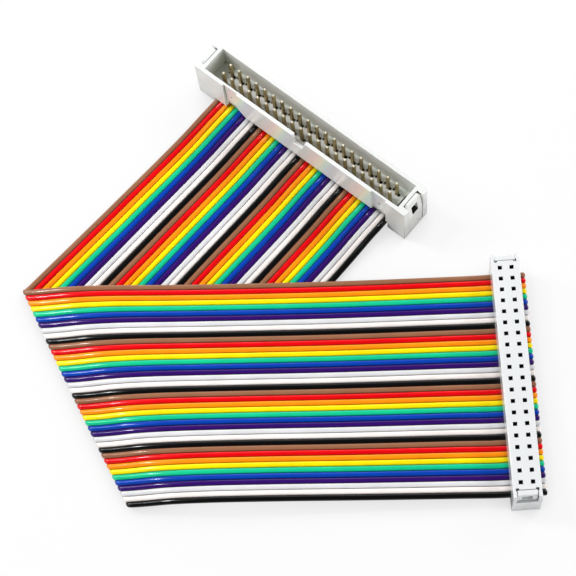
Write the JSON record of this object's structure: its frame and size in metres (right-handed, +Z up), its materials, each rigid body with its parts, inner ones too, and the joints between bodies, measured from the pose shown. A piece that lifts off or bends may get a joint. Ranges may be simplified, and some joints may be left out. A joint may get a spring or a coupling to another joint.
{
  "type": "ribbon cable",
  "caption": "Rainbow flat ribbon cable folded once on the diagonal, joining a shrouded pin plug to a pin socket; both are pressed onto the wires and stand mating face up.",
  "frame": {"origin": "middle of the socket's base, on the surface the cable lies on", "axes": "+Z up, out of the socket's mating face; +Y along the socket towards the first, brown wire; +X from the ribbon through the socket"},
  "size_m": [0.1126, 0.1111, 0.0135],
  "materials": {
    "plug_shell": "injection-moulded pale grey plastic, smooth, with glossy panels",
    "socket_shell": "injection-moulded pale grey plastic, smooth",
    "contact": "thinly plated stamped brass, dull, bright at the tips",
    "wire_brown": "brown soft PVC insulation, smooth and glossy",
    "wire_red": "red soft PVC insulation, smooth and glossy",
    "wire_orange": "orange soft PVC insulation, smooth and glossy",
    "wire_yellow": "yellow soft PVC insulation, smooth and glossy",
    "wire_green": "green soft PVC insulation, smooth and glossy",
    "wire_blue": "blue soft PVC insulation, smooth and glossy",
    "wire_violet": "violet soft PVC insulation, smooth and glossy",
    "wire_grey": "grey soft PVC insulation, smooth and glossy",
    "wire_white": "white soft PVC insulation, smooth and glossy",
    "wire_black": "black soft PVC insulation, smooth and glossy"
  },
  "bodies": {
    "root": {"plug_housing": "plug_shell", "plug_cover": "plug_shell", "plug_pins_front": "contact", "plug_pins_back": "contact", "socket_housing": "socket_shell", "socket_cover": "socket_shell", "socket_contacts_left": "contact", "socket_contacts_right": "contact", "wire_01_brown": "wire_brown", "wire_02_red": "wire_red", "wire_03_orange": "wire_orange", "wire_04_yellow": "wire_yellow", "wire_05_green": "wire_green", "wire_06_blue": "wire_blue", "wire_07_violet": "wire_violet", "wire_08_grey": "wire_grey", "wire_09_white": "wire_white", "wire_10_black": "wire_black", "wire_11_brown": "wire_brown", "wire_12_red": "wire_red", "wire_13_orange": "wire_orange", "wire_14_yellow": "wire_yellow", "wire_15_green": "wire_green", "wire_16_blue": "wire_blue", "wire_17_violet": "wire_violet", "wire_18_grey": "wire_grey", "wire_19_white": "wire_white", "wire_20_black": "wire_black", "wire_21_brown": "wire_brown", "wire_22_red": "wire_red", "wire_23_orange": "wire_orange", "wire_24_yellow": "wire_yellow", "wire_25_green": "wire_green", "wire_26_blue": "wire_blue", "wire_27_violet": "wire_violet", "wire_28_grey": "wire_grey", "wire_29_white": "wire_white", "wire_30_black": "wire_black", "wire_31_brown": "wire_brown", "wire_32_red": "wire_red", "wire_33_orange": "wire_orange", "wire_34_yellow": "wire_yellow", "wire_35_green": "wire_green", "wire_36_blue": "wire_blue", "wire_37_violet": "wire_violet", "wire_38_grey": "wire_grey", "wire_39_white": "wire_white", "wire_40_black": "wire_black"}
  },
  "joints": []
}
